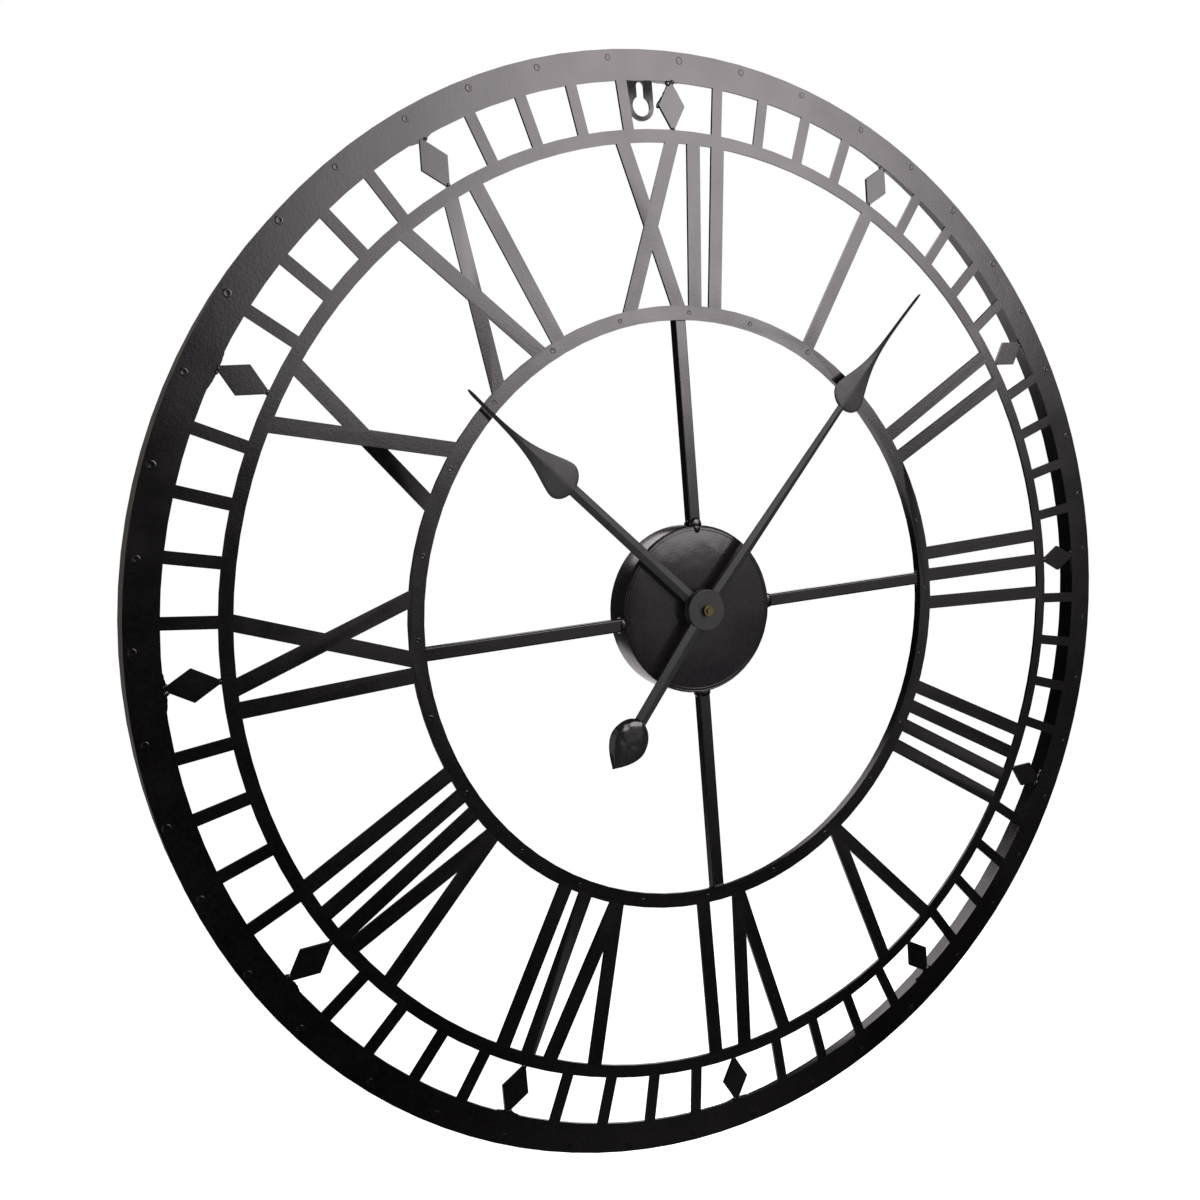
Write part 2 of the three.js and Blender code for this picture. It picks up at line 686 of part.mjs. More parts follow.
// A leaf bent from strip: a flat back against the end wall, and a tongue that presses on the cell.
function contact(name, side) {
  const wall = CASE_HALF - CASE_WALL - CONTACT_GAP;
  const cellEnd = side > 0 ? CELL_X + CELL_BODY / 2 + CELL_NUB : -CELL_X + CELL_BODY / 2;
  const strip = CONTACT_SHEET;
  const y = [CASE_INSIDE + CONTACT_LIFT, CASE_INSIDE + CELL_RADIUS, LID_FRONT - CONTACT_DROP];
  const tongue = cellEnd + CONTACT_GAP;
  const outline = new THREE.Shape([
    new THREE.Vector2(side * wall, y[0]),
    new THREE.Vector2(side * wall, y[2]),
    new THREE.Vector2(side * (wall - strip), y[2]),
    new THREE.Vector2(side * (wall - strip), y[0] + strip),
    new THREE.Vector2(side * (tongue + strip), y[1]),
    new THREE.Vector2(side * (wall - strip - CONTACT_FOLD), y[2]),
    new THREE.Vector2(side * (wall - 2 * strip - CONTACT_FOLD), y[2]),
    new THREE.Vector2(side * tongue, y[1]),
    new THREE.Vector2(side * (wall - 2 * strip), y[0]),
  ]);
  const leaf = new THREE.ExtrudeGeometry(outline, { depth: CONTACT_WIDTH, bevelEnabled: false });
  leaf.translate(0, 0, CELL_Z - CONTACT_WIDTH / 2);
  return mesh(name, leaf, STEEL);
}

function circuitBoard() {
  const y = [BOARD_Y, BOARD_Y + BOARD_SHEET];
  return mesh("circuit_board", box(BOARD_X, y, BOARD_Z), [0x2b5a3a, 0.5, 0.1]);
}

function quartzCrystal() {
  const radius = CRYSTAL_RADIUS;
  const can = new THREE.CylinderGeometry(radius, radius, CRYSTAL_LENGTH, 16);
  can.rotateX(Math.PI / 2);
  can.translate((BOARD_X[0] + BOARD_X[1]) / 2, BOARD_Y - radius - CRYSTAL_GAP, CRYSTAL_Z);
  return mesh("quartz_crystal", can, STEEL);
}

function stator() {
  const head = new THREE.Shape();
  const left = rotorPlace[0] - STATOR_HALF;
  const right = rotorPlace[0] + STATOR_HALF;
  const bottom = rotorPlace[1] - STATOR_HALF;
  head.moveTo(STATOR_END, COIL_Z - CORE_HALF);
  head.lineTo(left, COIL_Z - CORE_HALF);
  head.lineTo(left, bottom);
  head.lineTo(right, bottom);
  head.lineTo(right, COIL_Z + CORE_HALF);
  head.lineTo(STATOR_END, COIL_Z + CORE_HALF);
  const hole = new THREE.Path();
  hole.absarc(...rotorPlace, MAGNET_RADIUS + STATOR_GAP, 0, 2 * Math.PI, true);
  head.holes.push(hole);
  return mesh("stator", plate(head, STATOR_Y, STATOR_SHEET), STEEL);
}

function coil() {
  const winding = new THREE.CylinderGeometry(COIL_RADIUS, COIL_RADIUS, COIL_LENGTH, SHAFT_FACETS);
  winding.rotateZ(Math.PI / 2);
  winding.translate(COIL_START + COIL_LENGTH / 2, STATOR_Y + STATOR_SHEET / 2, COIL_Z);
  const x = [COIL_START - 1, COIL_START + COIL_LENGTH + 1];
  const y = [STATOR_Y - COIL_SLACK, STATOR_Y + STATOR_SHEET + COIL_SLACK];
  const z = [COIL_Z - CORE_HALF - COIL_SLACK, COIL_Z + CORE_HALF + COIL_SLACK];
  const core = box(x, y, z);
  return mesh("coil", cut(solid(winding), solid(core)), [0x8c4a22, 0.4, 0.6]);
}

function washerRing(name, outer, inner, front, thickness, look) {
  return mesh(name, ring(outer, inner, front, thickness, 36), look);
}

function hexNut(name, acrossFlats, bore, front, thickness, look) {
  const corner = acrossFlats / Math.sqrt(3);
  const points = [];
  for (let side = 0; side < 6; side += 1) {
    points.push(new THREE.Vector2(...polar(corner, side * 60)));
  }
  const shape = new THREE.Shape(points);
  shape.holes.push(new THREE.Path().absarc(0, 0, bore, 0, 2 * Math.PI, true));
  return mesh(name, plate(shape, front, thickness), look);
}

function gasket() {
  return washerRing("gasket", GASKET_RADIUS, HUB_HOLE, HUB_FRONT + HUB_SHEET, GASKET, [0x101010, 0.9, 0]);
}

function washer() {
  const bore = BUSH_RADIUS + 2 * BUSH_CLEARANCE;
  return washerRing("washer", WASHER_RADIUS, bore, HUB_FRONT - WASHER_SHEET, WASHER_SHEET, BRASS);
}

function mountingNut() {
  const front = HUB_FRONT - WASHER_SHEET - MOUNTING_NUT_THICK;
  const bore = BUSH_RADIUS + BUSH_CLEARANCE;
  return hexNut("mounting_nut", MOUNTING_NUT_FLATS, bore, front, MOUNTING_NUT_THICK, BRASS);
}

// ---------- hands ----------

// Sweeps a section with a flat back and a ridged front along +Z through [z, half-width, ridge].
function ridged(stations, back) {
  const points = [];
  for (const [z, half, ridge] of stations) {
    const edge = back - HAND_EDGE;
    points.push([half, back, z], [half, edge, z], [0, edge - ridge, z], [-half, edge, z], [-half, back, z]);
  }
  const sides = 5;
  const index = [];
  for (let row = 0; row < stations.length - 1; row += 1) {
    for (let i = 0; i < sides; i += 1) {
      const a = row * sides + i;
      const b = row * sides + ((i + 1) % sides);
      index.push(a, b + sides, b, a, a + sides, b + sides);
    }
  }
  const last = (stations.length - 1) * sides;
  for (let i = 1; i < sides - 1; i += 1) {
    index.push(0, i, i + 1, last, last + i + 1, last + i);
  }
  const geometry = new THREE.BufferGeometry();
  geometry.setAttribute("position", new THREE.Float32BufferAttribute(points.flat(), 3));
  geometry.setIndex(index);
  return geometry;
}

// A spade blade: a slim arm, a rounded base and flanks that fall away to a needle.
function spade({ back, arm, notch, peak, tip }) {
  const stations = [[0, arm[0], HAND_RIDGE], [notch, arm[1], HAND_RIDGE]];
  const baseSteps = 5;
  for (let i = 1; i <= baseSteps; i += 1) {
    const turn = (i / baseSteps) * (Math.PI / 2);
    const half = Math.max(arm[1], SPADE_HALF * Math.sin(turn));
    stations.push([peak - (peak - notch) * Math.cos(turn) + 0.05, half, HAND_RIDGE]);
  }
  const flankSteps = 9;
  for (let i = 1; i <= flankSteps; i += 1) {
    const along = (tip - peak) * (i / flankSteps) ** 1.3;
    const half = TIP_HALF + (SPADE_HALF - TIP_HALF) * Math.exp(-((along / SPADE_FLANK) ** 1.5));
    stations.push([peak + along, half, HAND_RIDGE]);
  }
  return ridged(stations, back);
}

// The counterweight: a short arm that ends in a domed leaf.
function leafTail(back) {
  const stations = [[0, TAIL.arm, HAND_RIDGE], [TAIL.notch, TAIL.arm, HAND_RIDGE]];
  const steps = 6;
  for (let i = 1; i <= steps; i += 1) {
    const turn = (i / steps) * (Math.PI / 2);
    const half = Math.max(TAIL.arm, TAIL.half * Math.sin(turn));
    const z = TAIL.peak - (TAIL.peak - TAIL.notch) * Math.cos(turn) + 0.05;
    stations.push([z, half, HAND_RIDGE + TAIL.dome * Math.sin(turn)]);
  }
  for (let i = 1; i <= steps; i += 1) {
    const share = 1 - (i / steps) ** 1.8;
    const z = TAIL.peak + (TAIL.tip - TAIL.peak) * (i / steps);
    stations.push([z, Math.max(0.3, TAIL.half * share), HAND_RIDGE + TAIL.dome * share]);
  }
  return ridged(stations, back);
}

function hourHand() {
  const boss = solid(disc(HAND_BOSS, HOUR_HAND.back - BOSS_THICK, BOSS_THICK, 48));
  const whole = join(solid(spade(HOUR_HAND)), boss);
  const hole = solid(disc(SLEEVE_RADIUS + BORE_CLEARANCE, HOUR_HAND.back - BORE_OVERRUN, 2 * BORE_OVERRUN));
  const hand = mesh("hour_hand", cut(whole, hole), HAND_GREY);
  hand.rotation.y = radians(HOUR_ANGLE);
  return hand;
}

function minuteHand() {
  const boss = solid(disc(HAND_BOSS, MINUTE_HAND.back - BOSS_THICK, BOSS_THICK, 48));
  const tail = clockwise(leafTail(MINUTE_HAND.back), 180 + TAIL.bend);
  const whole = join(solid(spade(MINUTE_HAND)), solid(tail), boss);
  const hole = solid(disc(MINUTE_SHAFT + BORE_CLEARANCE, MINUTE_HAND.back - BORE_OVERRUN, 2 * BORE_OVERRUN));
  const hand = mesh("minute_hand", cut(whole, hole), HAND_GREY);
  hand.rotation.y = radians(MINUTE_ANGLE);
  return hand;
}

function handNut() {
  const front = MINUTE_HAND.back - BOSS_THICK - HAND_NUT_THICK;
  const bore = MINUTE_SHAFT + BORE_CLEARANCE;
  return washerRing("hand_nut", HAND_NUT_RADIUS, bore, front, HAND_NUT_THICK, BRASS);
}

// ---------- the clock ----------

const clock = new THREE.Group();
const hookSeat = HANGER_CENTRE_Z + KEYHOLE_RISE + KEYHOLE_SLOT - HOOK_SHANK;
clock.position.set(-HANGER_X, -DEPTH, -hookSeat);
clock.add(dialPlate());
for (let hour = 0; hour < HOURS; hour += 1) {
  clock.add(hourMarker(hour));
}
clock.add(rimBand(), innerBand());
Object.keys(SPOKE_DRIFT).forEach((side, quarter) => {
  clock.add(spoke(side, quarter * 90));
});
clock.add(hubCup(), hanger());
clock.add(movementCase(), movementLid(), battery());
clock.add(contact("contact_positive", 1), contact("contact_negative", -1));
clock.add(circuitBoard(), quartzCrystal(), stator(), coil());
clock.add(rotor(), stepWheel(), secondsWheel(), thirdWheel());
clock.add(centreWheel(), minuteWorksWheel(), hourWheel(), settingKnob());
clock.add(gasket(), washer(), mountingNut());
clock.add(hourHand(), minuteHand(), handNut());

export default clock;
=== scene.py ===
# Looks of the round open-work wall clock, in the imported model's row frame, in metres.
# Depths and radii that describe the dial are in millimetres from the dial's front and centre.
import math
import random

import bmesh
import bpy
from mathutils import Matrix, Vector, noise


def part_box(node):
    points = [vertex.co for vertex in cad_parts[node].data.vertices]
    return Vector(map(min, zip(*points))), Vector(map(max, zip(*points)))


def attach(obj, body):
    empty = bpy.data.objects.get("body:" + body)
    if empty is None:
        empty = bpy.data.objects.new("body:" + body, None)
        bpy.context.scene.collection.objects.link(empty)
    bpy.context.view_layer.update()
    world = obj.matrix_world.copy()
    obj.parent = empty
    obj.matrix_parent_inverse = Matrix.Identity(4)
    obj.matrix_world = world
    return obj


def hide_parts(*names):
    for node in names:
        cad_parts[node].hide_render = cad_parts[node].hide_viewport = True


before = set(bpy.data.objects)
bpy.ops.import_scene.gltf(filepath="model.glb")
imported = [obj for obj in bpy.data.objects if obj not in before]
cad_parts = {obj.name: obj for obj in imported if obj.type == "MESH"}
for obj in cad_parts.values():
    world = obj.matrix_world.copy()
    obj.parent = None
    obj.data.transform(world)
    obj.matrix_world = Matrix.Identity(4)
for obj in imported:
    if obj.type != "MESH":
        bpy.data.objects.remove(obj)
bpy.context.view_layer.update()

# ---------- the clock's dimensions, in millimetres ----------

MM = 0.001
DIAL_CENTRE = Vector((6, -23.5, -286.8)) * MM
SHEET = 1.5
CHAPTER_IN = 284.2
MIDDLE_OUT = 259.2
DISH = 6
RIM_IN = 298
BAND_IN = 163
BAND_OUT = 165.5
SPOKE_FRONT = 7.5
SPOKE_DEPTH = 6
SPOKE_WIDTH = 7
HUB_RADIUS = 47
HUB_FRONT = 6.5
HOURS = 12
DEPTHWAYS = Vector((0, 1, 0))
ALONG_X = Vector((1, 0, 0))

rng = random.Random(7)


def dial_point(x, depth, z):
    """A point of the dial, given in millimetres from its centre and its front."""
    return DIAL_CENTRE + Vector((x, depth, z)) * MM


def clock_point(radius, degrees, depth):
    """A point at a radius and a clockwise angle from 12 o'clock."""
    turn = math.radians(degrees)
    return dial_point(radius * math.sin(turn), depth, radius * math.cos(turn))


def outward(degrees):
    turn = math.radians(degrees)
    return Vector((math.sin(turn), 0, math.cos(turn)))


def clockwise(degrees):
    turn = math.radians(degrees)
    return Vector((math.cos(turn), 0, -math.sin(turn)))


# ---------- camera ----------

CAMERA_PLACE = (-356.3, -595.8, 87.8)
CAMERA_FORWARD = (0.4728, 0.8757, -0.0979)
CAMERA_ROLL = -4.44
CAMERA_LENS = 37.834
SENSOR_WIDTH = 36
CAMERA_SHIFT = (-0.0395, -0.0173)
CAMERA_CLIP = (0.01, 50)


def make_camera():
    data = bpy.data.cameras.new("camera")
    data.lens = CAMERA_LENS
    data.sensor_width = SENSOR_WIDTH
    data.shift_x, data.shift_y = CAMERA_SHIFT
    data.clip_start, data.clip_end = CAMERA_CLIP
    camera = bpy.data.objects.new("camera", data)
    forward = Vector(CAMERA_FORWARD).normalized()
    level = forward.cross(Vector((0, 0, 1))).normalized()
    upright = level.cross(forward)
    roll = math.radians(CAMERA_ROLL)
    right = level * math.cos(roll) + upright * math.sin(roll)
    up = upright * math.cos(roll) - level * math.sin(roll)
    turn = Matrix((right, up, -forward)).transposed().to_4x4()
    camera.matrix_world = Matrix.Translation(dial_point(*CAMERA_PLACE)) @ turn
    bpy.context.scene.collection.objects.link(camera)
    bpy.context.scene.camera = camera


make_camera()

# ---------- light, backdrop and floor ----------


def softbox(name, centre, size, toward, power, tint=(1, 1, 1)):
    """A rectangular light at a place in metres from the dial's centre, facing a direction."""
    data = bpy.data.lights.new(name, "AREA")
    data.shape = "RECTANGLE"
    data.size, data.size_y = size
    data.energy = power
    data.color = tint
    light = bpy.data.objects.new(name, data)
    light.location = DIAL_CENTRE + Vector(centre)
    light.rotation_euler = Vector(toward).to_track_quat("-Z", "Y").to_euler()
    light.visible_camera = False
    bpy.context.scene.collection.objects.link(light)


WARM = (1, 0.92, 0.94)
BROWN = (1, 0.88, 0.78)
KEY_PLANE = -1.25
KEY_LEVEL = 21.5
WHITE = (1, 1, 1, 1)
ROOM_GLOW = 0.008
FLOOR_HALF = 25
FLOOR_DROP = 1.1
FLOOR_COLOUR = (0.93, 0.93, 0.93, 1)
FLOOR_ROUGHNESS = 0.9
FLOOR_SPECULAR = 0.1


def key_tile(name, left, right, low, high, share):
    """A light tile in one plane before the dial; the main light is several, dimmer towards its edges."""
    size = (right - left, high - low)
    centre = ((left + right) / 2, KEY_PLANE, (low + high) / 2)
    softbox(name, centre, size, (0, 1, 0), KEY_LEVEL * share * size[0] * size[1], WARM)


def make_lights():
    key_tile("key_middle", 0.42, 1.1, 0.17, 1.25, 1)
    key_tile("key_right", 1.1, 1.5, 0.17, 1.25, 0.66)
    key_tile("key_left", 0.2, 0.42, 0.17, 1.25, 0.58)
    key_tile("key_far_left", 0.04, 0.2, 0.17, 1.25, 0.36)
    key_tile("key_below", 0.28, 1.6, -0.3, 0.17, 0.075)
    key_tile("key_hub", 0.45, 1.05, -0.45, -0.3, 0.075)
    key_tile("key_far_below", 1.05, 1.6, -0.7, -0.3, 0.015)
    key_tile("key_floor_left", 0.28, 1.05, -0.8, -0.45, 0.005)
    key_tile("key_floor", 0.3, 0.9, -1.35, -0.98, 0.026)
    softbox("back_top_softbox", (-0.1, 1.4, 1.4), (1.2, 0.75), (0, -0.86, -0.5), 10, WARM)
    softbox("back_left_softbox", (-0.24, 1.4, -0.05), (0.76, 1.3), (0, -1, 0), 0.45, BROWN)
    softbox("back_low_softbox", (0.1, 1.4, -1.0), (1.6, 0.7), (0, -1, 0.5), 5, WARM)
    softbox("back_middle_softbox", (0.8, 1.4, -0.1), (0.9, 1.1), (0, -1, 0), 2.6)
    softbox("back_right_softbox", (1.9, 1.5, -0.1), (1.6, 1.8), (-0.75, -0.65, 0), 13)
    key_tile("fill_left", -2.3, -0.65, -0.9, 0.9, 0.1)


def background(tree, strength):
    node = tree.nodes.new("ShaderNodeBackground")
    node.inputs["Color"].default_value = WHITE
    node.inputs["Strength"].default_value = strength
    return node.outputs[0]


def make_world():
    """A white backdrop to the camera that lights and reflects only faintly."""
    world = bpy.data.worlds.new("studio")
    world.use_nodes = True
    tree = world.node_tree
    tree.nodes.clear()
    path = tree.nodes.new("ShaderNodeLightPath")
    mix = tree.nodes.new("ShaderNodeMixShader")
    out = tree.nodes.new("ShaderNodeOutputWorld")
    tree.links.new(path.outputs["Is Camera Ray"], mix.inputs["Fac"])
    tree.links.new(background(tree, ROOM_GLOW), mix.inputs[1])
    tree.links.new(background(tree, 1.0), mix.inputs[2])
    tree.links.new(mix.outputs[0], out.inputs["Surface"])
    bpy.context.scene.world = world


def make_floor():
    mesh = bpy.data.meshes.new("floor")
    corners = [(-1, -1), (1, -1), (1, 1), (-1, 1)]
    places = [DIAL_CENTRE + Vector((x * FLOOR_HALF, y * FLOOR_HALF, -FLOOR_DROP)) for x, y in corners]
    mesh.from_pydata(places, [], [(0, 1, 2, 3)])
    floor = bpy.data.objects.new("floor", mesh)
    bpy.context.scene.collection.objects.link(floor)
    pale = bpy.data.materials.new("floor_pale")
    pale.use_nodes = True
    shader = pale.node_tree.nodes["Principled BSDF"]
    shader.inputs["Base Color"].default_value = FLOOR_COLOUR
    shader.inputs["Roughness"].default_value = FLOOR_ROUGHNESS
    shader.inputs["Specular IOR Level"].default_value = FLOOR_SPECULAR
    shader.inputs["Emission Color"].default_value = WHITE
    shader.inputs["Emission Strength"].default_value = 1.0
    mesh.materials.append(pale)
    floor.visible_glossy = False


make_lights()
make_world()
make_floor()
bpy.context.scene.view_settings.view_transform = "Standard"

# ---------- materials ----------


class Look:
    """A Principled material whose colour, roughness and relief come from noise in the object's space."""

    def __init__(self, name, **constants):
        self.material = bpy.data.materials.new(name)
        self.material.use_nodes = True
        self.tree = self.material.node_tree
        self.shader = self.tree.nodes["Principled BSDF"]
        for socket, value in constants.items():
            self.shader.inputs[socket.replace("_", " ")].default_value = value
        self.place = self.tree.nodes.new("ShaderNodeTexCoord").outputs["Object"]

    def link(self, source, target):
        self.tree.links.new(source, target)

    def noise(self, scale, detail=2.0, roughness=0.5, stretch=None):
        """Noise with about `scale` lumps to the metre."""
        texture = self.tree.nodes.new("ShaderNodeTexNoise")
        texture.inputs["Scale"].default_value = scale
        texture.inputs["Detail"].default_value = detail
        texture.inputs["Roughness"].default_value = roughness
        source = self.place
        if stretch:
            mapping = self.tree.nodes.new("ShaderNodeMapping")
            mapping.inputs["Scale"].default_value = stretch
            self.link(self.place, mapping.inputs["Vector"])
            source = mapping.outputs[0]
        self.link(source, texture.inputs["Vector"])
        return texture.outputs["Fac"]

    def span(self, value, low, high, to_low, to_high):
        node = self.tree.nodes.new("ShaderNodeMapRange")
        for socket, number in zip(node.inputs[1:5], (low, high, to_low, to_high)):
            socket.default_value = number
        self.link(value, node.inputs[0])
        return node.outputs[0]

    def colours(self, value, stops):
        """A ramp through (position, linear colour) stops, into the base colour."""
        ramp = self.tree.nodes.new("ShaderNodeValToRGB")
        elements = ramp.color_ramp.elements
        while len(elements) < len(stops):
            elements.new(0.5)
        for element, (position, colour) in zip(elements, stops):
            element.position = position
            element.color = (*colour, 1)
        self.link(value, ramp.inputs["Fac"])
        self.link(ramp.outputs["Color"], self.shader.inputs["Base Color"])
        return self

    def rough(self, value, low, high):
        self.link(self.span(value, 0.3, 0.7, low, high), self.shader.inputs["Roughness"])
        return self

    def relief(self, *layers):
        """Bump layers of (height, depth in metres, strength), one on top of the other."""
        normal = None
        for height, depth, strength in layers:
            bump = self.tree.nodes.new("ShaderNodeBump")
            bump.inputs["Distance"].default_value = depth
            bump.inputs["Strength"].default_value = strength
            self.link(height, bump.inputs["Height"])
            if normal:
                self.link(normal, bump.inputs["Normal"])
            normal = bump.outputs["Normal"]
        self.link(normal, self.shader.inputs["Normal"])
        return self


def black_paint():
    """Glossy black paint, with long waves and a fine orange peel."""
    look = Look("black_paint", Specular_IOR_Level=0.6)
    look.colours(look.noise(420, 4), [(0.35, (0.0006, 0.0005, 0.0006)), (0.75, (0.0024, 0.0018, 0.0019))])
    look.rough(look.noise(38, 3), 0.2, 0.28)
    look.relief((look.noise(30, 2), 0.0006, 0.25), (look.noise(750, 2), 0.00012, 0.24))
    return look.material


FACE_END = HUB_FRONT + 0.3
SIDE_START = HUB_FRONT + 1.4


def hub_paint():
    """Black paint, rubbed satin on the cup's flat face and glossier round its side."""
    look = Look("hub_paint")
    look.colours(look.noise(420, 4), [(0.3, (0.009, 0.0082, 0.0092)), (0.7, (0.0135, 0.0125, 0.0138))])
    split = look.tree.nodes.new("ShaderNodeSeparateXYZ")
    look.link(look.place, split.inputs[0])
    face, side = [(DIAL_CENTRE.y + depth * MM) for depth in (FACE_END, SIDE_START)]
    look.link(look.span(split.outputs[1], face, side, 0.34, 0.75), look.shader.inputs["Specular IOR Level"])
    look.link(look.span(split.outputs[1], face, side, 0.17, 0.24), look.shader.inputs["Roughness"])
    look.relief((look.noise(45, 2), 0.0006, 0.55), (look.noise(700, 2), 0.0001, 0.25))
    return look.material


def worn_steel():
    """Bare plated steel that shows through thin overspray."""
    look = Look("worn_steel", Specular_IOR_Level=0.6)
    look.colours(look.noise(260, 4), [(0.3, (0.08, 0.075, 0.077)), (0.7, (0.14, 0.134, 0.137))])
    look.rough(look.noise(90, 3), 0.3, 0.42)
    look.relief((look.noise(800, 2), 0.0001, 0.3))
    return look.material


def hand_paint():
    """Satin dark grey paint."""
    look = Look("hand_paint", Specular_IOR_Level=0.4)
    look.colours(look.noise(300, 3), [(0.3, (0.0125, 0.0132, 0.0126)), (0.7, (0.0175, 0.0182, 0.0172))])
    look.rough(look.noise(60, 3), 0.4, 0.5)
    look.relief((look.noise(1500, 2), 0.00006, 0.25))
    return look.material


def leaf_paint():
    """The hands' paint, glossy over a hammered relief."""
    look = Look("leaf_paint", Specular_IOR_Level=0.6)
    look.colours(look.noise(300, 3), [(0.3, (0.0085, 0.009, 0.0086)), (0.7, (0.0125, 0.013, 0.0124))])
    look.rough(look.noise(60, 3), 0.18, 0.26)
    look.relief((look.noise(190, 1), 0.0011, 0.6))
    return look.material


SCRATCHES = (40, 40, 1500)


def metal(name, dark, light, rough):
    look = Look(name, Metallic=1.0)
    look.colours(look.noise(220, 4), [(0.3, dark), (0.7, light)])
    look.rough(look.noise(90, 3), *rough)
    look.relief((look.noise(1.0, 3, 0.6, SCRATCHES), 0.00003, 0.25))
    return look.material


def plastic(name, dark, light, rough, grain=2600):
    look = Look(name, Specular_IOR_Level=0.45)
    look.colours(look.noise(55, 4), [(0.35, dark), (0.7, light)])
    look.rough(look.noise(120, 3), *rough)
    look.relief((look.noise(grain, 2), 0.00005, 0.35))
    return look.material


PAINT = black_paint()
HUB_PAINT = hub_paint()
HAND = hand_paint()
LEAF = leaf_paint()
BRASS = metal("brass", (0.085, 0.07, 0.033), (0.16, 0.135, 0.07), (0.36, 0.5))
STEEL = metal("bright_steel", (0.5, 0.5, 0.49), (0.68, 0.68, 0.66), (0.22, 0.36))
COPPER = metal("copper_wire", (0.36, 0.12, 0.05), (0.55, 0.2, 0.08), (0.3, 0.4))
CASE = plastic("case_plastic", (0.011, 0.0115, 0.0125), (0.019, 0.0195, 0.021), (0.42, 0.56))
GEAR = plastic("gear_plastic", (0.66, 0.64, 0.56), (0.78, 0.76, 0.68), (0.35, 0.48))
RUBBER = plastic("rubber", (0.006, 0.006, 0.006), (0.014, 0.014, 0.014), (0.75, 0.9), 1800)
BOARD = plastic("board", (0.012, 0.07, 0.028), (0.022, 0.105, 0.045), (0.35, 0.5), 900)
HANGER_STEEL = worn_steel()
SLEEVE = plastic("cell_sleeve", (0.2, 0.23, 0.25), (0.28, 0.31, 0.33), (0.22, 0.32), 700)
SLEEVE_BAND = plastic("cell_sleeve_band", (0.02, 0.022, 0.026), (0.035, 0.037, 0.042), (0.22, 0.3), 700)

LOOKS = {
    "black_paint": PAINT,
    "hand_paint": HAND,
    "brass": BRASS,
    "case_plastic": CASE,
    "gear_plastic": GEAR,
    "bright_steel": STEEL,
    "cell_sleeve": SLEEVE,
    "board": BOARD,
    "copper_wire": COPPER,
    "rubber": RUBBER,
}

OWN_LOOK = {"hub_cup": HUB_PAINT, "hanger": HANGER_STEEL}

# ---------- the CAD nodes that stay ----------

EDGE = {
    "dial_plate": 0.22,
    "rim_band": 0.3,
    "inner_band": 0.3,
    "hub_cup": 0.15,
    "hanger": 0.3,
    "movement_case": 0.25,
    "movement_lid": 0.2,
    "mounting_nut": 0.3,
    "hand_nut": 0.35,
    "washer": 0.1,
}
SPOKE_EDGE = 0.8
MARKER_EDGE = 0.25
OTHER_EDGE = 0.06
SHARP_DEGREES = 28
WELD_DISTANCE = 2e-6


def dress_node(name, node):
    """Joins the node's faces at their edges, rounds the sharp ones and gives it its finish."""
    mesh = node.data
    for attribute in ("custom_normal", "sharp_edge"):
        if attribute in mesh.attributes:
            mesh.attributes.remove(mesh.attributes[attribute])
    mesh.polygons.foreach_set("use_smooth", [True] * len(mesh.polygons))
    weld = node.modifiers.new("join", "WELD")
    weld.merge_threshold = WELD_DISTANCE
    width = EDGE.get(name, OTHER_EDGE)
    if name.startswith("spoke"):
        width = SPOKE_EDGE
    if name.startswith("hour_marker"):
        width = MARKER_EDGE
    bevel = node.modifiers.new("soft_edges", "BEVEL")
    bevel.width = width * MM
    bevel.segments = 2
    bevel.limit_method = "ANGLE"
    bevel.angle_limit = math.radians(SHARP_DEGREES)
    bevel.harden_normals = True
    bevel.use_clamp_overlap = True
    slot = mesh.materials[0].name.split(".")[0]
    look = OWN_LOOK.get(name, LOOKS[slot])
    for index in range(len(mesh.materials)):
        mesh.materials[index] = look


for node_name, node_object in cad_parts.items():
    dress_node(node_name, node_object)

# ---------- pieces ----------

WELD_SHARP = 80


def piece(name, shape, body, material, sharp=38):
    """A new piece from a bmesh in the row frame, riding on a body."""
    mesh = bpy.data.meshes.new(name)
    bmesh.ops.recalc_face_normals(shape, faces=shape.faces)
    shape.to_mesh(mesh)
    shape.free()
    mesh.polygons.foreach_set("use_smooth", [True] * len(mesh.polygons))
    mesh.set_sharp_from_angle(angle=math.radians(sharp))
    mesh.materials.append(material)
    made = bpy.data.objects.new(name, mesh)
    bpy.context.scene.collection.objects.link(made)
    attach(made, body)
    return made


def stray(spread):
    """A random step either way, for what is placed by hand."""
    return rng.uniform(-spread, spread)


def skin(shape, rows, loop=False, caps=True):
    """Joins rings of vertices with faces, then closes the two ends or joins the last ring to the first."""
    pairs = list(zip(rows, rows[1:]))
    if loop:
        pairs.append((rows[-1], rows[0]))
    count = len(rows[0])
    for before, after in pairs:
        for index in range(count):
            nearby = (index + 1) % count
            shape.faces.new((before[index], before[nearby], after[nearby], after[index]))
    if caps and not loop:
        shape.faces.new(rows[-1])
        shape.faces.new(list(reversed(rows[0])))


def turned(shape, profile, centre, axis, across, sides=64, loop=False):
    """Turns a profile of (radius, height along the axis) in millimetres: capped, or a ring if it loops."""
    third = axis.cross(across)
    rows = []
    for radius, height in profile:
        row = []
        for side in range(sides):
            turn = 2 * math.pi * side / sides
            ray = across * math.cos(turn) + third * math.sin(turn)
            row.append(shape.verts.new(centre + (ray * radius + axis * height) * MM))
        rows.append(row)
    skin(shape, rows, loop)


COARSE_SKIN = 1.7
FINE_SKIN = 4
FINE_SHARE = 0.4


